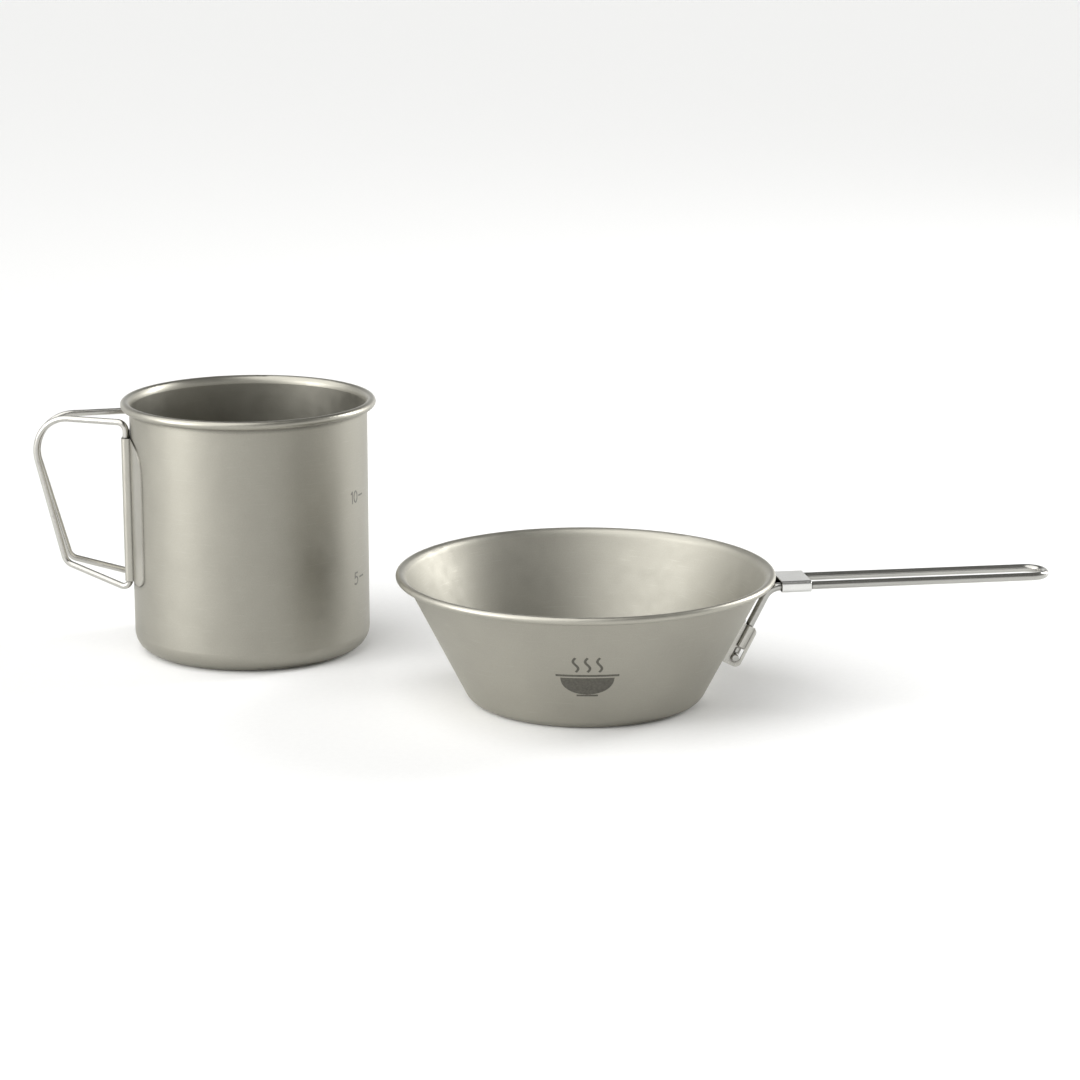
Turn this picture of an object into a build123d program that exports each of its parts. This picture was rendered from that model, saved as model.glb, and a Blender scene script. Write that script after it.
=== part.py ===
from build123d import *
import math
import os

# Camping bowl and mug in thin titanium sheet, each with folding wire handles.
# The origin is the centre of the bowl's base, on the surface that both stand on.
# +Z is up and +X runs along the bowl's handle.

SHEET = 0.5  # wall thickness of both shells

# Bowl
BOWL_RIM_RADIUS = 62.5
BOWL_HEIGHT = 43.2
BOWL_SLOPE = 27.2  # wall, degrees from vertical
BOWL_BEAD_RADIUS = 1.25  # rolled rim, outside
BOWL_CORNER_RADIUS = 5.25
BOWL_FLARE_RADIUS = 3.0
BOWL_FLARE = 70.0  # degrees from vertical where the roll starts
ROLL_END = -205.0  # heading at which both rolled rims stop, degrees from +X

# Bowl hinge bracket, in the wall's own directions: "up" along it and "out" from it
BRACKET_SHEET = 0.6
BRACKET_FOOT_Z = 12.4
BRACKET_HEIGHT = 14.6
BRACKET_DEPTH = 6.0
BRACKET_EAR_CORNER = 2.0
WEB_HALF_ANGLE = 15.0
WELDS_UP = [4.4, 10.2]  # heights of the spot welds on the web
WELD_RADIUS = 0.9
WELD_DEPTH = 0.12
PIVOT_UP = 2.85
PIVOT_OUT = 3.2
WINDOW_TOP = 6.5
WINDOW_OFFSET = 0.2
WINDOW_WIDTH = 3.3
WINDOW_CORNER = 0.6
GROOVE_START = 7.0
GROOVE_RADIUS = 1.9
GROOVE_PROUD = 0.9

# Bowl handle
WIRE_RADIUS = 1.35
LEG_SPACING = 12.0
EAR_GAP = 0.3  # between a leg and the ear beside it
PIN_CLEARANCE = 0.06
PIN_PROUD = 0.8
PIN_BEND = 1.6
LEG_BEND = 6.0
ARM_Z = 36.6
ARM_END = 158.0
ARM_END_BEND = 5.9
WIRE_END_CHAMFER = 0.35

# Sliding collar
COLLAR_SHEET = 0.5
COLLAR_LENGTH = 10.0
COLLAR_START = 64.6
COLLAR_CLEARANCE = 0.1
COLLAR_CORNER = 1.3
COLLAR_SEAM = 0.25
COLLAR_EDGE = 0.12

# Mug
MUG_X = -104.0
MUG_Y = 84.0
MUG_HANDLE_AZIMUTH = 168.5
MUG_RIM_RADIUS = 44.0
MUG_HEIGHT = 88.0
MUG_BEAD_RADIUS = 1.5
MUG_CORNER_RADIUS = 6.5
MUG_FLARE_RADIUS = 3.0
MUG_FLARE = 44.4

# Mug hinge plate, a hat section standing on two flanges
PLATE_SHEET = 0.5
PLATE_TOP = 12.4  # below the rim
PLATE_BOTTOM = 62.8
PLATE_SIDE = 3.0  # longer than the gap between the hinge line and the wall
FLANGE_ANGLE = 34.0  # flange edge, degrees from the handle's middle plane
FLANGE_TOP_CORNER = 10.0
FLANGE_BOTTOM_CORNER = 4.0

# Mug handle loops, each flat and hinged about a vertical line
LOOP_WIRE_RADIUS = 1.1
LOOP_AXIS_RADIUS = 42.5
LOOP_AXIS_SIDE = 11.0
LOOP_GRIP_SIDE = 1.35
LOOP_GRIP_BACK = 4.3  # the two grips stand LOOP_GRIP_SIDE from the middle plane this far in
LOOP_TOP = 7.0  # heights below the rim
LOOP_BOTTOM = 66.0
LOOP_LOW_CORNER = 58.2
LOOP_STUB = 14.0
LOOP_REACH_TOP = 38.4
LOOP_REACH_LOW = 24.4
LOOP_BENDS = [3.0, 12.5, 4.2, 2.6]  # inner top, outer top, outer low, inner low
LOOP_CLEARANCE = 0.06
LOOP_END_CHAMFER = 0.3

EAR_INSIDE = LEG_SPACING / 2 + WIRE_RADIUS + EAR_GAP
EAR_OUTSIDE = EAR_INSIDE + BRACKET_SHEET
LOOP_AXIS_OUT = math.sqrt(LOOP_AXIS_RADIUS**2 - LOOP_AXIS_SIDE**2)


def part_way(start, angle, length, turn, share):
    """Place and heading part of the way along a line, or along an arc that turns."""
    heading = angle + turn * share
    if turn:
        radius = length / turn
        x = start.X + radius * (math.sin(heading) - math.sin(angle))
        z = start.Y - radius * (math.cos(heading) - math.cos(angle))
    else:
        x = start.X + length * share * math.cos(angle)
        z = start.Y + length * share * math.sin(angle)
    return Vector(x, z), heading


def strip_face(start, moves, thickness):
    """Strip of sheet in the XZ plane, along lines and tangent arcs, setting out along +X."""
    edges = {1: [], -1: []}
    place, heading = start, 0.0
    for length, turn in moves:
        steps = [part_way(place, heading, length, turn, share) for share in (0.0, 0.5, 1.0)]
        for side, line in edges.items():
            reach = side * thickness / 2
            a, b, c = [(p.X - reach * math.sin(h), 0, p.Y + reach * math.cos(h)) for p, h in steps]
            line.append(ThreePointArc(a, b, c) if turn else Line(a, c))
        place, heading = steps[-1]
    left, right = edges.values()
    caps = [Line(left[0] @ 0, right[0] @ 0), Line(left[-1] @ 1, right[-1] @ 1)]
    return make_face(left + right + caps)


def right_of(heading):
    return Vector(math.sin(heading), -math.cos(heading))


def shell_of(rim_radius, height, slope, bead, corner, flare_radius, flare):
    """Turned shell with a flat base, a straight wall and a rolled rim.

    Also gives the radius that the wall's outside would have at the base plane.
    """
    wall = math.radians(90 - slope)
    lip = math.radians(90 - flare)
    roll_end = math.radians(ROLL_END)
    roll = bead - SHEET / 2
    centre = Vector(rim_radius - bead, height - bead)
    flare_end = centre - right_of(lip) * roll
    wall_top = flare_end + (right_of(lip) - right_of(wall)) * flare_radius
    rise = wall_top.Y - SHEET / 2
    corner_x = wall_top.X - rise / math.tan(wall)
    cut = corner * math.tan(wall / 2)
    moves = [
        (corner_x - cut, 0),
        (corner * wall, wall),
        (rise / math.sin(wall) - cut, 0),
        (flare_radius * (wall - lip), lip - wall),
        (roll * (lip - roll_end), roll_end - lip),
    ]
    face = strip_face(Vector(0, SHEET / 2), moves, SHEET)
    foot = corner_x + SHEET / 2 * (1 / math.sin(wall) - 1 / math.tan(wall))
    return revolve(face, Axis.Z, 360), foot


def bowl_shell():
    return shell_of(
        BOWL_RIM_RADIUS,
        BOWL_HEIGHT,
        BOWL_SLOPE,
        BOWL_BEAD_RADIUS,
        BOWL_CORNER_RADIUS,
        BOWL_FLARE_RADIUS,
        BOWL_FLARE,
    )


def bowl_outside(foot):
    """Solid cone that the bowl's outer wall lies on, for trimming what stands on it."""
    low, high = -10.0, BOWL_HEIGHT
    slope = math.tan(math.radians(BOWL_SLOPE))
    bottom = foot + low * slope
    top = foot + high * slope
    cone = Cone(bottom, top, high - low, align=(Align.CENTER, Align.CENTER, Align.MIN))
    return Pos(0, 0, low) * cone


def wall_plane(foot, side):
    """Plane on the bowl wall at the bracket's foot: x out from the wall, y up along it."""
    slope = math.radians(BOWL_SLOPE)
    out = (math.cos(slope), 0, -math.sin(slope))
    origin = (foot + BRACKET_FOOT_Z * math.tan(slope), side, BRACKET_FOOT_Z)
    return Plane(origin=origin, x_dir=out, z_dir=(0, -1, 0))


def ear_outline():
    """Side view of one ear, with its hinge hole running up into the window."""
    buried = 2.0
    blank = Pos((BRACKET_DEPTH - buried) / 2, BRACKET_HEIGHT / 2) * Rectangle(
        BRACKET_DEPTH + buried, BRACKET_HEIGHT
    )
    outer = blank.vertices().sort_by(Axis.X)[-2:]
    blank = fillet(outer, BRACKET_EAR_CORNER)
    hole = Pos(PIVOT_OUT, PIVOT_UP) * Circle(WIRE_RADIUS + PIN_CLEARANCE)
    window = Pos(PIVOT_OUT + WINDOW_OFFSET, (PIVOT_UP + WINDOW_TOP) / 2) * Rectangle(
        WINDOW_WIDTH, WINDOW_TOP - PIVOT_UP
    )
    window = fillet(window.vertices().sort_by(Axis.Y)[-2:], WINDOW_CORNER)
    return blank - hole - window


def ear(foot, side):
    """Side plate of the bracket, with a round groove that the sprung leg snaps into."""
    plate_plane = wall_plane(foot, side * (EAR_INSIDE + EAR_OUTSIDE) / 2)
    plate = extrude(plate_plane * ear_outline(), BRACKET_SHEET / 2, both=True)
    groove_plane = wall_plane(foot, side * (EAR_OUTSIDE + GROOVE_PROUD - GROOVE_RADIUS))
    seat = groove_plane * Pos(PIVOT_OUT, GROOVE_START) * Rot(-90, 0, 0)
    upward = (Align.CENTER, Align.CENTER, Align.MIN)
    length = BRACKET_HEIGHT - GROOVE_START
    rib = seat * Cylinder(GROOVE_RADIUS, length, align=upward)
    hollow = seat * Cylinder(GROOVE_RADIUS - BRACKET_SHEET, length, align=upward)
    outward = (Align.CENTER, Align.MIN if side > 0 else Align.MAX, Align.CENTER)
    beyond = Pos(0, side * EAR_INSIDE, 0) * Box(200, 20, 200, align=outward)
    return plate + (rib & beyond) - hollow - bowl_outside(foot)


def bowl_bracket(foot):
    """Web that lies on the bowl's wall, two ears, and the dimples of its spot welds."""
    plane = wall_plane(foot, 0)
    band = Pos(BRACKET_SHEET / 2, BRACKET_HEIGHT / 2) * Rectangle(BRACKET_SHEET, BRACKET_HEIGHT)
    web = revolve(plane * band, Axis.Z, 2 * WEB_HALF_ANGLE)
    web = (Rot(0, 0, -WEB_HALF_ANGLE) * web) & Box(200, 2 * EAR_OUTSIDE, 200)
    for up in WELDS_UP:
        web -= plane * Pos(BRACKET_SHEET, up) * Rot(0, 90, 0) * Cylinder(WELD_RADIUS, 2 * WELD_DEPTH)
    return web + [ear(foot, side) for side in (1, -1)]


def pivot_point(foot):
    plane = wall_plane(foot, 0)
    return plane.from_local_coords(Vector(PIVOT_OUT, PIVOT_UP, 0))


def bent_wire(points, bends, radius, end_chamfer):
    """Round wire along straight runs joined by bends."""
    path = FilletPolyline(*points, radius=bends)
    section = Plane(origin=path @ 0, z_dir=path % 0) * Circle(radius)
    wire = sweep(section, path=path)
    rings = wire.edges().filter_by(GeomType.CIRCLE)
    rims = [e for e in rings if min((e.arc_center - path @ s).length for s in (0, 1)) < 0.01]
    return chamfer(rims, end_chamfer)


def bowl_handle(foot):
    pivot = pivot_point(foot)
    rise = ARM_Z - pivot.Z
    elbow_x = pivot.X + rise * math.tan(math.radians(BOWL_SLOPE))
    side = LEG_SPACING / 2
    tip_side = EAR_OUTSIDE + PIN_PROUD
    end_x = ARM_END - WIRE_RADIUS
    half = [
        (pivot.X, tip_side, pivot.Z),
        (pivot.X, side, pivot.Z),
        (elbow_x, side, ARM_Z),
        (end_x, side, ARM_Z),
    ]
    points = half + [(x, -y, z) for x, y, z in reversed(half)]
    bends = [PIN_BEND, LEG_BEND, ARM_END_BEND]
    return bent_wire(points, bends + bends[::-1], WIRE_RADIUS, WIRE_END_CHAMFER)


def handle_collar():
    """Flat sleeve round both legs, bent from one strip with its seam underneath."""
    inner_width = LEG_SPACING + 2 * (WIRE_RADIUS + COLLAR_CLEARANCE)
    inner_height = 2 * (WIRE_RADIUS + COLLAR_CLEARANCE)
    grow = 2 * COLLAR_SHEET
    outer = RectangleRounded(inner_width + grow, inner_height + grow, COLLAR_CORNER)
    inner = RectangleRounded(inner_width, inner_height, COLLAR_CORNER - COLLAR_SHEET)
    seam = Pos(0, -inner_height / 2) * Rectangle(COLLAR_SEAM, inner_height)
    section = outer - inner - seam
    plane = Plane(origin=(COLLAR_START, 0, ARM_Z), x_dir=(0, 1, 0), z_dir=(1, 0, 0))
    collar = extrude(plane * section, COLLAR_LENGTH)
    ends = collar.edges().group_by(Axis.X)
    return chamfer(ends[0] + ends[-1], COLLAR_EDGE)


def mug_shell():
    return shell_of(
        MUG_RIM_RADIUS,
        MUG_HEIGHT,
        0,
        MUG_BEAD_RADIUS,
        MUG_CORNER_RADIUS,
        MUG_FLARE_RADIUS,
        MUG_FLARE,
    )


def hat_section(wall):
    """Half of the plate's cross-section seen from above, on the +Y side."""
    inside = LOOP_WIRE_RADIUS + LOOP_CLEARANCE
    outside = inside + PLATE_SHEET
    face_in = LOOP_AXIS_OUT + inside
    face_out = LOOP_AXIS_OUT + outside
    web = Pos((face_in + face_out) / 2, LOOP_AXIS_SIDE / 2) * Rectangle(PLATE_SHEET, LOOP_AXIS_SIDE)
    bend = Circle(outside) - Circle(inside)
    quarter = Rectangle(outside, outside, align=(Align.MIN, Align.MIN))
    bend = Pos(LOOP_AXIS_OUT, LOOP_AXIS_SIDE) * (bend & quarter)
    foot_y = LOOP_AXIS_SIDE + (inside + outside) / 2
    inward = (Align.MAX, Align.CENTER)
    side = Pos(LOOP_AXIS_OUT, foot_y) * Rectangle(PLATE_SIDE, PLATE_SHEET, align=inward)
    ring = Circle(wall + PLATE_SHEET) - Circle(wall)
    reach = 2 * wall
    edge = math.radians(FLANGE_ANGLE)
    start = LOOP_AXIS_SIDE + inside
    wedge = Polygon(
        (start / math.tan(edge), start),
        (reach, start),
        (reach, reach * math.tan(edge)),
        align=None,
    )
    return web + bend + (side - Circle(wall)) + (ring & wedge)


def flange_outline(wall):
    """Side view of one half of the plate, for its rounded flange corners."""
    width = wall * math.sin(math.radians(FLANGE_ANGLE))
    height = PLATE_BOTTOM - PLATE_TOP
    blank = Rectangle(width, height, align=(Align.MIN, Align.MIN))
    low, high = blank.vertices().sort_by(Axis.X)[-2:].sort_by(Axis.Y)
    blank = fillet(high, FLANGE_TOP_CORNER)
    low = blank.vertices().sort_by(Axis.Y)[:2].sort_by(Axis.X)[-1]
    blank = fillet(low, FLANGE_BOTTOM_CORNER)
    plane = Plane(origin=(0, 0, MUG_HEIGHT - PLATE_BOTTOM), x_dir=(0, 1, 0), z_dir=(1, 0, 0))
    return extrude(plane * blank, 2 * wall)


def mug_bracket(wall):
    base = MUG_HEIGHT - PLATE_BOTTOM
    half = extrude(Pos(0, 0, base) * hat_section(wall), PLATE_BOTTOM - PLATE_TOP)
    half = half & flange_outline(wall)
    return half + mirror(half, Plane.XZ)


def mug_loop(side):
    """One handle loop, flat in an upright plane that leans towards the middle plane."""
    span = LOOP_AXIS_SIDE - LOOP_GRIP_SIDE
    lean = -side * math.asin(span / (LOOP_REACH_TOP - LOOP_GRIP_BACK))
    flat = [
        (0, PLATE_TOP + LOOP_STUB),
        (0, LOOP_TOP),
        (LOOP_REACH_TOP, LOOP_TOP),
        (LOOP_REACH_LOW, LOOP_LOW_CORNER),
        (0, LOOP_BOTTOM),
        (0, PLATE_BOTTOM - LOOP_STUB),
    ]
    points = [
        (
            LOOP_AXIS_OUT + out * math.cos(lean),
            side * LOOP_AXIS_SIDE + out * math.sin(lean),
            MUG_HEIGHT - down,
        )
        for out, down in flat
    ]
    return bent_wire(points, LOOP_BENDS, LOOP_WIRE_RADIUS, LOOP_END_CHAMFER)


def on_mug(shape):
    return Pos(MUG_X, MUG_Y, 0) * Rot(0, 0, MUG_HANDLE_AZIMUTH) * shape


def main():
    os.makedirs("parts", exist_ok=True)
    bowl, foot = bowl_shell()
    mug, wall = mug_shell()
    nodes = {
        "bowl_shell": bowl,
        "bowl_handle_bracket": bowl_bracket(foot),
        "bowl_handle_wire": bowl_handle(foot),
        "handle_collar": handle_collar(),
        "mug_shell": on_mug(mug),
        "mug_handle_bracket": on_mug(mug_bracket(wall)),
        "mug_handle_right": on_mug(mug_loop(1)),
        "mug_handle_left": on_mug(mug_loop(-1)),
    }
    for name, shape in nodes.items():
        export_step(shape, f"parts/{name}.step")


main()
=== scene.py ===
import math

import bpy
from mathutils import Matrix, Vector
from mathutils.bvhtree import BVHTree


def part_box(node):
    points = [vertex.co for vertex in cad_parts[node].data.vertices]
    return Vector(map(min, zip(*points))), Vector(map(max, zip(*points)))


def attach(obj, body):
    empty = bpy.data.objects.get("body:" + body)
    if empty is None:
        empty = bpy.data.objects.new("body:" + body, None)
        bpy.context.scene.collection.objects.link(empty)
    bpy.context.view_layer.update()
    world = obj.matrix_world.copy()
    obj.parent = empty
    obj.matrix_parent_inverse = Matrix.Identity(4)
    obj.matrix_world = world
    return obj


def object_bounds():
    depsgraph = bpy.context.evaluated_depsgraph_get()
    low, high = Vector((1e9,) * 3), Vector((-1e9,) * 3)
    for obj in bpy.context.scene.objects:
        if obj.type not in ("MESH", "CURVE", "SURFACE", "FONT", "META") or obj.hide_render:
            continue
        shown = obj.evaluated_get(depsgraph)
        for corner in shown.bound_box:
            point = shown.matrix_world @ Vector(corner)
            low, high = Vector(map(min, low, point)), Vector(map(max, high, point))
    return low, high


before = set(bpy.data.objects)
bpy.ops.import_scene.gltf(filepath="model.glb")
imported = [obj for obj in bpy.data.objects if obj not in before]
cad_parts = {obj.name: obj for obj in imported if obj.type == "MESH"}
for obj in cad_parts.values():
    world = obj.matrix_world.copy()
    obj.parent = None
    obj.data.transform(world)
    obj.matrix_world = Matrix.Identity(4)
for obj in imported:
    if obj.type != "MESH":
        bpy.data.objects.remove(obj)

# Looks of the camping bowl and mug: metal finishes, etched marks, floor, lights and camera.
# Lengths are in metres in the frame's own axes, and MM turns millimetres into them.

MM = 0.001
cad_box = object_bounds()


def middle(node):
    """Centre of a node's box at rest."""
    low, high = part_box(node)
    return (low + high) / 2


def new_object(name, data):
    """New object in the scene."""
    made = bpy.data.objects.new(name, data)
    bpy.context.scene.collection.objects.link(made)
    return made


# ---- Material nodes -------------------------------------------------------------------

# Dark tone that painted shade pulls a surface towards in its corners and gaps.
PAINTED_SHADE_COLOUR = (0.035, 0.032, 0.026, 1.0)
NOISE_LOW, NOISE_HIGH = 0.3, 0.7  # nearly all of a noise's values lie between these
MIX_FACTOR, MIX_A, MIX_B, MIX_RESULT = 0, 6, 7, 2  # colour sockets of the Mix node


class Nodes:
    """Adds nodes to a new material; an input is a plain value or another node's output."""

    def __init__(self, name):
        self.material = bpy.data.materials.new(name)
        self.material.use_nodes = True
        self.tree = self.material.node_tree
        self.tree.nodes.clear()

    def add(self, kind, inputs, output=0, **settings):
        node = self.tree.nodes.new(kind)
        for name, value in settings.items():
            setattr(node, name, value)
        for name, value in inputs.items():
            if isinstance(value, bpy.types.NodeSocket):
                self.tree.links.new(value, node.inputs[name])
            else:
                node.inputs[name].default_value = value
        return node.outputs[output]

    def math(self, operation, a, b=0.0):
        return self.add("ShaderNodeMath", {0: a, 1: b}, operation=operation)

    def product(self, *factors):
        total = factors[0]
        for factor in factors[1:]:
            total = self.math("MULTIPLY", total, factor)
        return total

    def remap(self, value, low, high, to_low, to_high):
        inputs = {0: value, 1: low, 2: high, 3: to_low, 4: to_high}
        return self.add("ShaderNodeMapRange", inputs)

    def ramp(self, value, none, full):
        """0 at one value and 1 at the other."""
        return self.remap(value, none, full, 0.0, 1.0)

    def vary(self, noise, low, high):
        """A noise brought between two values."""
        return self.remap(noise, NOISE_LOW, NOISE_HIGH, low, high)

    def factor(self, mask, strength):
        """1 outside a mask and this strength inside it."""
        return self.remap(mask, 0.0, 1.0, 1.0, strength)

    def place(self):
        """Position in the piece's own space, so that a pattern moves with it."""
        return self.add("ShaderNodeTexCoord", {}, output="Object")

    def noise(self, vector, size, detail=2.0):
        """Noise from 0 to 1 whose blotches are about this size."""
        inputs = {"Vector": vector, "Scale": 1 / size, "Detail": detail}
        return self.add("ShaderNodeTexNoise", inputs)

    def stretched(self, vector, sizes, detail=1.0, lean=0.0):
        """Noise drawn out along an axis that may lean from Z towards X, for brushed lines."""
        inputs = {"Vector": vector, "Scale": sizes, "Rotation": (0, math.radians(lean), 0)}
        placed = self.add("ShaderNodeMapping", inputs, vector_type="TEXTURE")
        return self.noise(placed, 1.0, detail)

    def shaded(self, colour, shade):
        """The colour times a shade."""
        inputs = {0: colour, "Scale": shade}
        return self.add("ShaderNodeVectorMath", inputs, operation="SCALE")

    def with_painted_shade(self, colour, painted_shade):
        """The colour, pulled towards a dark tone where painted shade (corner darkening) is high."""
        inputs = {MIX_FACTOR: painted_shade, MIX_A: colour, MIX_B: PAINTED_SHADE_COLOUR}
        return self.add("ShaderNodeMix", inputs, output=MIX_RESULT, data_type="RGBA")

    def surface(self, colour, roughness, bump, depth, metallic=1.0):
        """Ends the material in one Principled shader."""
        relief = {"Height": bump, "Distance": depth, "Strength": 1.0}
        inputs = {
            "Base Color": colour,
            "Roughness": roughness,
            "Metallic": metallic,
            "Normal": self.add("ShaderNodeBump", relief),
        }
        shader = self.add("ShaderNodeBsdfPrincipled", inputs)
        out = self.tree.nodes.new("ShaderNodeOutputMaterial")
        self.tree.links.new(shader, out.inputs["Surface"])
        return self.material


# ---- Metal finishes -------------------------------------------------------------------

PAINTED_SHADE_STRENGTH = 0.9
CORNER_OPEN = (0.97, 0.64)  # open sky over a spot: plain wall, and a corner full of painted shade
EDGE_OPEN = (0.75, 0.35)  # the same measured inside the metal: flat, and a rubbed edge
EDGE_REACH = 0.35 * MM
EDGE_PATCH = 3 * MM  # edges are rubbed in patches of about this size
OPEN_SAMPLES = 6

RIM_BAND = (2.6 * MM, 0.6 * MM)  # below the top: where rubbing starts, and where it is full
FOOT_HEIGHT = 1.2 * MM  # the foot is rubbed up to here
FLOOR_BAND = (1.0 * MM, 4.0 * MM)  # painted shade starts and is full here, clear of the floor's own shade
BOWL_SLOPE = 27.2  # lean of the bowl's bracket, degrees from upright


def shade_and_wear(nodes, place, reach):
    """How far a spot lies in a corner (painted shade, darkened as shade falls there) and on an
    outer edge (rubbed bright).
    """
    kind = "ShaderNodeAmbientOcclusion"
    around = nodes.add(kind, {"Distance": reach}, output="AO", samples=OPEN_SAMPLES)
    inner = {"Distance": EDGE_REACH}
    inside = nodes.add(kind, inner, output="AO", samples=OPEN_SAMPLES, inside=True)
    # Painted shade: ambient occlusion darkens corners, creases and gaps between parts.
    painted_shade = nodes.product(nodes.ramp(around, *CORNER_OPEN), PAINTED_SHADE_STRENGTH)
    patches = nodes.remap(nodes.noise(place, EDGE_PATCH), 0.35, 0.65, 0.25, 1.0)
    return painted_shade, nodes.product(nodes.ramp(inside, *EDGE_OPEN), patches)


def from_axis(nodes, place, centre):
    """Distance from a shell's own upright axis, and height."""
    own = nodes.add("ShaderNodeVectorMath", {0: place, 1: (-centre.x, -centre.y, 0)})
    parts = nodes.tree.nodes.new("ShaderNodeSeparateXYZ")
    nodes.tree.links.new(own, parts.inputs[0])
    x, y, z = parts.outputs
    squares = nodes.math("ADD", nodes.product(x, x), nodes.product(y, y))
    return nodes.math("SQRT", squares), z


def turned_titanium(name, node, colour, roughness):
    """Bead-blasted sheet shell: fine grain, faint forming rings, a rubbed rim and foot."""
    nodes = Nodes(name)
    place = nodes.place()
    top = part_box(node)[1].z
    radius, z = from_axis(nodes, place, middle(node))
    ring_place = nodes.add("ShaderNodeCombineXYZ", {"X": radius, "Y": z})
    rings = nodes.noise(ring_place, 0.9 * MM, 3.0)
    grain = nodes.noise(place, 0.16 * MM)
    cloud = nodes.noise(place, 22 * MM, 3.0)
    blotch = nodes.noise(place, 4.5 * MM, 3.0)
    scratches = nodes.stretched(place, (9 * MM, 9 * MM, 0.25 * MM))
    scuffs = nodes.ramp(scratches, 0.66, 0.74)
    painted_shade, rubbed = shade_and_wear(nodes, place, 2.0 * MM)
    rim = nodes.ramp(z, top - RIM_BAND[0], top - RIM_BAND[1])
    foot = nodes.ramp(z, FOOT_HEIGHT, 0.0)
    contact = nodes.math("MAXIMUM", nodes.math("MAXIMUM", rim, foot), rubbed)
    shade = nodes.product(
        nodes.vary(grain, 0.93, 1.07),
        nodes.vary(cloud, 0.965, 1.03),
        nodes.vary(blotch, 0.98, 1.02),
        nodes.factor(contact, 1.16),
        nodes.factor(scuffs, 1.05),
    )
    # Painted shade in the shell's corners and along the bracket's edge, kept off the lowest few
    # millimetres.
    clear = nodes.ramp(z, *FLOOR_BAND)
    base = nodes.with_painted_shade(nodes.shaded(colour, shade), nodes.product(painted_shade, clear))
    rough = nodes.product(roughness, nodes.vary(blotch, 0.94, 1.06))
    rough = nodes.math("SUBTRACT", rough, nodes.product(contact, 0.12))
    rough = nodes.math("SUBTRACT", rough, nodes.product(scuffs, 0.05))
    height = nodes.math("ADD", grain, nodes.product(rings, 0.5))
    return nodes.surface(base, rough, height, 0.006 * MM)


def sheet_metal(name, colour, roughness, brushing, depth, lean=0.0):
    """Pressed sheet: brushed along one axis, with rubbed edges and painted shade in its corners."""
    nodes = Nodes(name)
    place = nodes.place()
    lines = nodes.stretched(place, brushing, 2.0, lean)
    cloud = nodes.noise(place, 5 * MM, 3.0)
    painted_shade, rubbed = shade_and_wear(nodes, place, 1.0 * MM)
    shade = nodes.product(
        nodes.vary(lines, 0.965, 1.035),
        nodes.vary(cloud, 0.97, 1.03),
        nodes.factor(rubbed, 1.18),
    )
    # Painted shade darkens the sheet in its corners and gaps.
    base = nodes.with_painted_shade(nodes.shaded(colour, shade), painted_shade)
    rough = nodes.product(roughness, nodes.vary(lines, 0.92, 1.1))
    rough = nodes.math("SUBTRACT", rough, nodes.product(rubbed, 0.08))
    return nodes.surface(base, rough, lines, depth)


def drawn_wire(name, colour, roughness, grain_size, depth):
    """Round wire: long drawing streaks, small knocks and a grain of its own."""
    nodes = Nodes(name)
    place = nodes.place()
    grain = nodes.noise(place, grain_size)
    streaks = nodes.stretched(place, (14 * MM, 0.3 * MM, 0.9 * MM), 2.0)
    knocks = nodes.ramp(nodes.noise(place, 1.8 * MM, 1.0), 0.68, 0.76)
    painted_shade, rubbed = shade_and_wear(nodes, place, 0.8 * MM)
    shade = nodes.product(
        nodes.vary(grain, 0.96, 1.04),
        nodes.vary(streaks, 0.95, 1.05),
        nodes.factor(knocks, 0.9),
        nodes.factor(rubbed, 1.1),
    )
    # Painted shade darkens the wire where it tucks into corners against other parts.
    base = nodes.with_painted_shade(nodes.shaded(colour, shade), painted_shade)
    rough = nodes.product(roughness, nodes.vary(streaks, 0.85, 1.2))
    rough = nodes.math("ADD", rough, nodes.product(knocks, 0.08))
    height = nodes.math("SUBTRACT", grain, nodes.product(knocks, 2.0))
    return nodes.surface(base, rough, height, depth)


def etched(name, colour):
    """Laser-marked metal: dull, dark and hatched with the beam's fine lines."""
    nodes = Nodes(name)
    place = nodes.place()
    hatch = nodes.stretched(place, (0.6 * MM, 0.6 * MM, 0.09 * MM), 2.0)
    burn = nodes.noise(place, 0.8 * MM, 3.0)
    shade = nodes.product(nodes.vary(hatch, 0.8, 1.2), nodes.vary(burn, 0.85, 1.15))
    rough = nodes.vary(hatch, 0.55, 0.7)
    return nodes.surface(nodes.shaded(colour, shade), rough, hatch, 0.004 * MM, metallic=0.6)


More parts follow.
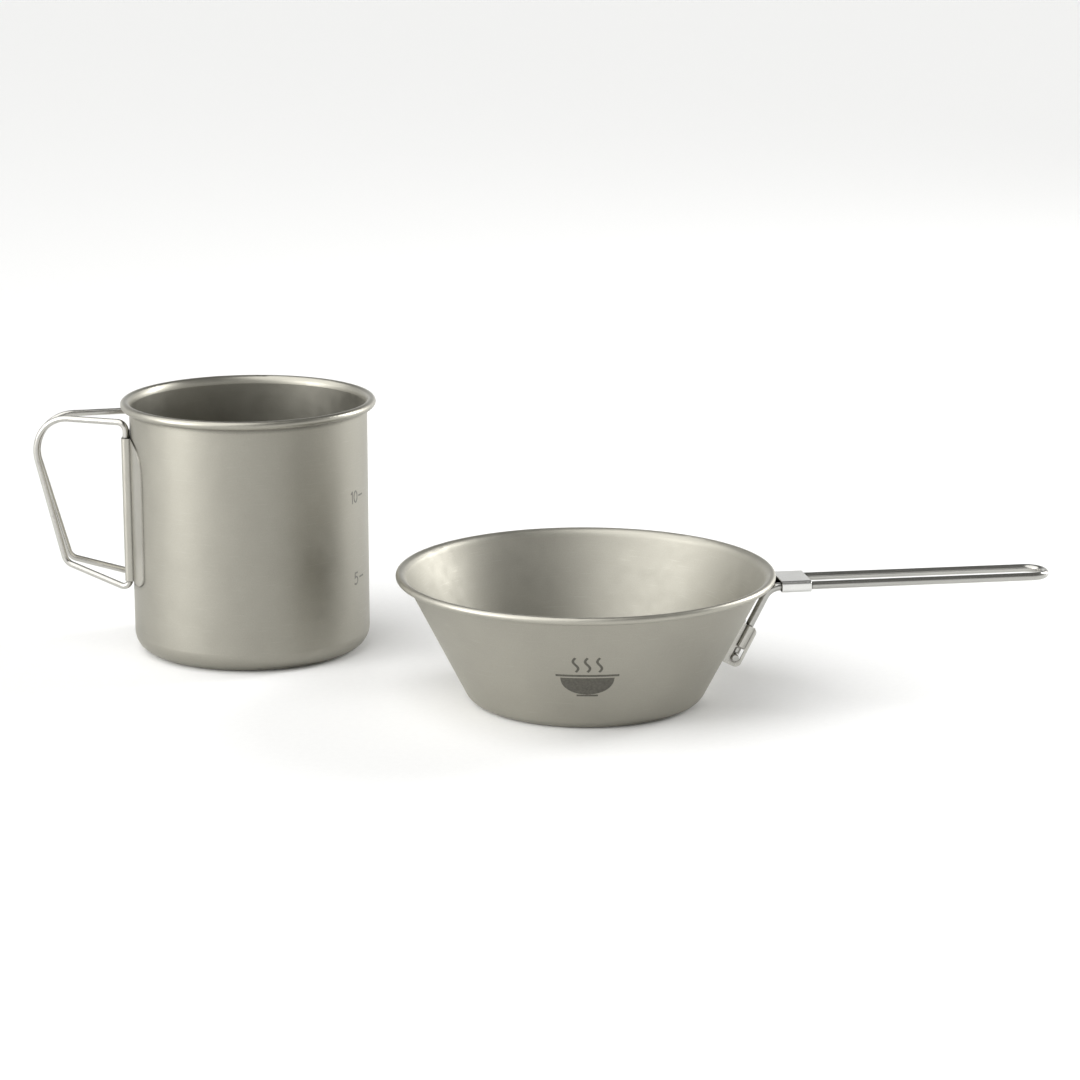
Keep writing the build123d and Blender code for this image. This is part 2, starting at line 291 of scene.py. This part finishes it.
loop_finish = drawn_wire(
    "blasted_wire",
    colour=(0.48, 0.47, 0.44),
    roughness=0.21,
    grain_size=0.14 * MM,
    depth=0.004 * MM,
)
FINISHES = {
    "bowl_shell": turned_titanium(
        "blasted_titanium_bowl",
        node="bowl_shell",
        colour=(0.356, 0.344, 0.300),
        roughness=0.54,
    ),
    "mug_shell": turned_titanium(
        "blasted_titanium_mug",
        node="mug_shell",
        colour=(0.318, 0.307, 0.266),
        roughness=0.47,
    ),
    "bowl_handle_bracket": sheet_metal(
        "pressed_bracket_bowl",
        colour=(0.47, 0.46, 0.425),
        roughness=0.27,
        brushing=(0.12 * MM, 0.12 * MM, 8 * MM),
        depth=0.0006 * MM,
        lean=BOWL_SLOPE,
    ),
    "mug_handle_bracket": sheet_metal(
        "pressed_bracket_mug",
        colour=(0.40, 0.388, 0.345),
        roughness=0.36,
        brushing=(0.2 * MM, 0.2 * MM, 9 * MM),
        depth=0.0015 * MM,
    ),
    "bowl_handle_wire": drawn_wire(
        "bright_wire",
        colour=(0.42, 0.415, 0.39),
        roughness=0.19,
        grain_size=0.3 * MM,
        depth=0.002 * MM,
    ),
    "handle_collar": sheet_metal(
        "collar_steel",
        colour=(0.72, 0.72, 0.70),
        roughness=0.24,
        brushing=(9 * MM, 0.2 * MM, 0.2 * MM),
        depth=0.002 * MM,
    ),
    "mug_handle_right": loop_finish,
    "mug_handle_left": loop_finish,
}

for node, finish in FINISHES.items():
    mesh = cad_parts[node].data
    mesh.materials.clear()
    mesh.materials.append(finish)


# ---- Etched marks ---------------------------------------------------------------------
# A mark is drawn flat, x along the wall and y up it, and then wrapped onto the shell.

MARK_PROUD = 0.02 * MM
MARK_THICKNESS = 0.08 * MM
MARK_STEP = 0.5 * MM
RAY_START = 0.2  # well outside either shell


class Wall:
    """A shell's outer wall around one spot, which flat marks are wrapped onto."""

    def __init__(self, node, azimuth, height):
        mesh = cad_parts[node].data
        faces = [tuple(p.vertices) for p in mesh.polygons]
        self.tree = BVHTree.FromPolygons([v.co for v in mesh.vertices], faces)
        self.centre = middle(node)
        self.azimuth = math.radians(azimuth)
        self.height = height
        spot, normal = self.hit(self.azimuth, height)
        self.radius = (spot - self.axis_point(spot.z)).length
        self.climb = math.sqrt(1 - normal.z**2)

    def axis_point(self, height):
        return Vector((self.centre.x, self.centre.y, height))

    def hit(self, angle, height):
        out = Vector((math.cos(angle), math.sin(angle), 0))
        start = self.axis_point(height) + out * RAY_START
        spot, normal, _, _ = self.tree.ray_cast(start, -out)
        return spot, normal

    def at(self, along, up):
        angle = self.azimuth + along / self.radius
        spot, normal = self.hit(angle, self.height + up * self.climb)
        return spot + normal * MARK_PROUD


def between(lower, upper, rows):
    """Grid of points from one line of points to another."""
    return [
        [a + (b - a) * row / rows for a, b in zip(lower, upper)] for row in range(rows + 1)
    ]


def stroke(points, width, closed=False):
    """Even stroke along a line of points."""
    count = len(points)
    sides = ([], [])
    for i, point in enumerate(points):
        before = points[i - 1] if closed or i else point
        after = points[(i + 1) % count] if closed or i < count - 1 else point
        across = (after - before).normalized().orthogonal() * width / 2
        for side, sign in zip(sides, (1, -1)):
            side.append(point + across * sign)
    if closed:
        for side in sides:
            side.append(side[0])
    return between(sides[1], sides[0], 2)


def arc(centre, radii, start, end, steps):
    """Points on an ellipse, from one angle to another in degrees."""
    turns = [math.radians(start + (end - start) * i / steps) for i in range(steps + 1)]
    return [
        Vector((centre[0] + radii[0] * math.cos(t), centre[1] + radii[1] * math.sin(t)))
        for t in turns
    ]


def ring(centre, radii, steps):
    """Points all round an ellipse, none of them twice."""
    return arc(centre, radii, 0, 360, steps)[:-1]


def line(start, end):
    a, b = Vector(start), Vector(end)
    steps = max(1, math.ceil((b - a).length / MARK_STEP))
    return [a + (b - a) * i / steps for i in range(steps + 1)]


def mark(name, wall, grids, body, finish):
    """One thin etched layer made of wrapped grids."""
    verts, faces = [], []
    for grid in grids:
        wide = len(grid[0])
        first = len(verts)
        verts += [wall.at(p.x, p.y) for row in grid for p in row]
        for r in range(len(grid) - 1):
            for c in range(wide - 1):
                corner = first + r * wide + c
                faces.append((corner, corner + 1, corner + wide + 1, corner + wide))
    mesh = bpy.data.meshes.new(name)
    mesh.from_pydata(verts, [], faces)
    mesh.materials.append(finish)
    piece = new_object(name, mesh)
    layer = piece.modifiers.new("layer", "SOLIDIFY")
    layer.thickness = MARK_THICKNESS
    layer.offset = -1.0
    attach(piece, body)


# The mug has two level marks, each a number and a short line.
LEVEL_AZIMUTH = -31.0
LEVEL_TEN = 56.6 * MM
LEVEL_FIVE = 27.8 * MM
LEVEL_LINE = (1.2 * MM, 4.6 * MM)  # its two ends, along the wall
DIGIT_HEIGHT = 4.4 * MM
DIGIT_STROKE = 0.55 * MM


def digit_one(x):
    stem_x = x + 0.9 * MM
    stem = line((stem_x, 0), (stem_x, DIGIT_HEIGHT))
    flag = line((stem_x - 1.0 * MM, DIGIT_HEIGHT - 1.0 * MM), (stem_x, DIGIT_HEIGHT - 0.2 * MM))
    return [stroke(stem, DIGIT_STROKE), stroke(flag, DIGIT_STROKE)]


def digit_zero(x):
    radii = (1.15 * MM, (DIGIT_HEIGHT - DIGIT_STROKE) / 2)
    outline = ring((x + radii[0], DIGIT_HEIGHT / 2), radii, 24)
    return [stroke(outline, DIGIT_STROKE, closed=True)]


def digit_five(x):
    left = x + 0.4 * MM
    bar_height = DIGIT_HEIGHT - DIGIT_STROKE / 2
    bar = line((left, bar_height), (x + 2.2 * MM, bar_height))
    back = line((left, DIGIT_HEIGHT), (x + 0.2 * MM, DIGIT_HEIGHT / 2))
    radii = (1.35 * MM, 0.3 * DIGIT_HEIGHT)
    belly = arc((x + 0.9 * MM, radii[1] + 0.15 * MM), radii, 118, -140, 18)
    return [stroke(part, DIGIT_STROKE) for part in (bar, back, belly)]


def level_line():
    start, end = LEVEL_LINE
    return [stroke(line((start, DIGIT_HEIGHT / 2), (end, DIGIT_HEIGHT / 2)), DIGIT_STROKE)]


level_finish = etched("etched_scale", (0.17, 0.165, 0.15))
for name, level, number in (
    ("level_mark_ten", LEVEL_TEN, digit_one(-4.2 * MM) + digit_zero(-2.2 * MM)),
    ("level_mark_five", LEVEL_FIVE, digit_five(-2.4 * MM)),
):
    wall = Wall("mug_shell", LEVEL_AZIMUTH, level - DIGIT_HEIGHT / 2)
    mark(name, wall, number + level_line(), "mug", level_finish)


# The bowl's mark is a plain cooking sign: a round pot with three wisps of steam.
SIGN_AZIMUTH = -99.0
SIGN_HEIGHT = 19.5 * MM
POT_RADIUS = 8.6 * MM
POT_TOP = 0.6 * MM
POT_DEPTH = 0.82 * POT_RADIUS
POT_ROUNDNESS = 0.8  # under 1 is fuller than an ellipse
POT_STEPS = 28
BRIM_HALF_LENGTH = POT_RADIUS + 1.4 * MM
BRIM_GAP = 1.0 * MM
BRIM_STROKE = 0.8 * MM
FOOT_HALF_LENGTH = 0.42 * POT_RADIUS
FOOT_DROP = 6.9 * MM
FOOT_STROKE = 0.7 * MM
STEAM_PLACES = (-3.6 * MM, 0.0, 3.6 * MM)
STEAM_GAP = 2.6 * MM
STEAM_HEIGHT = 6.0 * MM
STEAM_SWAY = 0.75 * MM
STEAM_STROKE = 0.75 * MM
STEAM_STEPS = 14


def level_stroke(half_length, height, width):
    return stroke(line((-half_length, height), (half_length, height)), width)


def pot():
    turns = [math.pi * (1 - i / POT_STEPS) for i in range(POT_STEPS + 1)]
    lip = [Vector((POT_RADIUS * math.cos(t), POT_TOP)) for t in turns]
    drops = [Vector((0, POT_DEPTH * math.sin(t) ** POT_ROUNDNESS)) for t in turns]
    return between([a - drop for a, drop in zip(lip, drops)], lip, 12)


def steam(x):
    parts = [step / STEAM_STEPS for step in range(STEAM_STEPS + 1)]
    foot = Vector((x, POT_TOP + STEAM_GAP))
    rises = [Vector((STEAM_SWAY * math.sin(math.tau * p), STEAM_HEIGHT * p)) for p in parts]
    return stroke([foot + rise for rise in rises], STEAM_STROKE)


cooking_sign = [
    pot(),
    level_stroke(BRIM_HALF_LENGTH, POT_TOP + BRIM_GAP, BRIM_STROKE),
    level_stroke(FOOT_HALF_LENGTH, -FOOT_DROP, FOOT_STROKE),
] + [steam(x) for x in STEAM_PLACES]
sign_wall = Wall("bowl_shell", SIGN_AZIMUTH, SIGN_HEIGHT)
sign_finish = etched("etched_sign", (0.105, 0.10, 0.085))
mark("cooking_sign", sign_wall, cooking_sign, "bowl", sign_finish)


# ---- Floor, lights and camera ---------------------------------------------------------

FLOOR_RADIUS = 14.0
FLOOR_COLOUR = (0.88, 0.88, 0.875)
HORIZON = (0.02, (1.0, 1.0, 0.995, 1))  # height on the sky's ramp and colour
ZENITH = (0.55, (0.16, 0.16, 0.155, 1))
SKY_STRENGTH = 1.3
AIM_ABOVE_CENTRE = 2 * MM


def studio_floor():
    edge = ring((0, 0), (FLOOR_RADIUS, FLOOR_RADIUS), 64)
    mesh = bpy.data.meshes.new("studio_floor")
    mesh.from_pydata([(p.x, p.y, 0) for p in edge], [], [tuple(range(len(edge)))])
    nodes = Nodes("pale_floor")
    speckle = nodes.noise(nodes.place(), 2 * MM)
    colour = nodes.shaded(FLOOR_COLOUR, nodes.vary(speckle, 0.99, 1.01))
    mesh.materials.append(nodes.surface(colour, 0.65, speckle, 0.01 * MM, metallic=0.0))
    new_object("studio_floor", mesh)


def studio_world():
    """White at the horizon, grey above."""
    world = bpy.data.worlds.new("studio_world")
    world.use_nodes = True
    tree = world.node_tree
    tree.nodes.clear()
    place = tree.nodes.new("ShaderNodeTexCoord")
    split = tree.nodes.new("ShaderNodeSeparateXYZ")
    ramp = tree.nodes.new("ShaderNodeValToRGB")
    sky = tree.nodes.new("ShaderNodeBackground")
    out = tree.nodes.new("ShaderNodeOutputWorld")
    tree.links.new(place.outputs["Generated"], split.inputs[0])
    tree.links.new(split.outputs["Z"], ramp.inputs[0])
    tree.links.new(ramp.outputs["Color"], sky.inputs["Color"])
    tree.links.new(sky.outputs[0], out.inputs["Surface"])
    for element, (position, colour) in zip(ramp.color_ramp.elements, (HORIZON, ZENITH)):
        element.position = position
        element.color = colour
    sky.inputs["Strength"].default_value = SKY_STRENGTH
    bpy.context.scene.world = world


def key_light(direction, strength, spread):
    """Distant soft light, even over the whole floor."""
    light = bpy.data.lights.new("key", "SUN")
    light.energy = strength
    light.angle = math.radians(spread)
    lamp = new_object("key", light)
    lamp.rotation_euler = Vector(direction).to_track_quat("Z", "Y").to_euler()


def softbox(name, where, aim, size, power):
    """Rectangular light turned towards a point."""
    light = bpy.data.lights.new(name, "AREA")
    light.shape = "RECTANGLE"
    light.size, light.size_y = size
    light.energy = power
    lamp = new_object(name, light)
    lamp.location = where
    lamp.rotation_euler = (Vector(aim) - Vector(where)).to_track_quat("-Z", "Y").to_euler()


def camera(azimuth, elevation, lens, aim, width):
    """Camera that sees this width at the aim point; lens is in Blender's own millimetres."""
    data = bpy.data.cameras.new("camera")
    data.lens = lens
    data.clip_start, data.clip_end = 0.05, 100.0
    a, e = math.radians(azimuth), math.radians(elevation)
    back = Vector((math.sin(a) * math.cos(e), -math.cos(a) * math.cos(e), math.sin(e)))
    eye = new_object("camera", data)
    eye.location = aim + back * width * lens / data.sensor_width
    eye.rotation_euler = (-back).to_track_quat("-Z", "Y").to_euler()
    bpy.context.scene.camera = eye


studio_floor()
studio_world()
key_light(direction=(-0.72, -0.22, 0.88), strength=3.0, spread=88)
softbox("strip_left", where=(-1.1, -0.25, 0.30), aim=(-0.05, 0.05, 0.04), size=(0.45, 0.6), power=5)
softbox("fill_right", where=(0.9, 0.35, 0.45), aim=(0, 0.03, 0.04), size=(0.3, 0.7), power=7)
bpy.context.scene.view_settings.view_transform = "Standard"
aim = (cad_box[0] + cad_box[1]) / 2 + Vector((0, 0, AIM_ABOVE_CENTRE))
camera(azimuth=-9.0, elevation=13.5, lens=110.0, aim=aim, width=0.365)
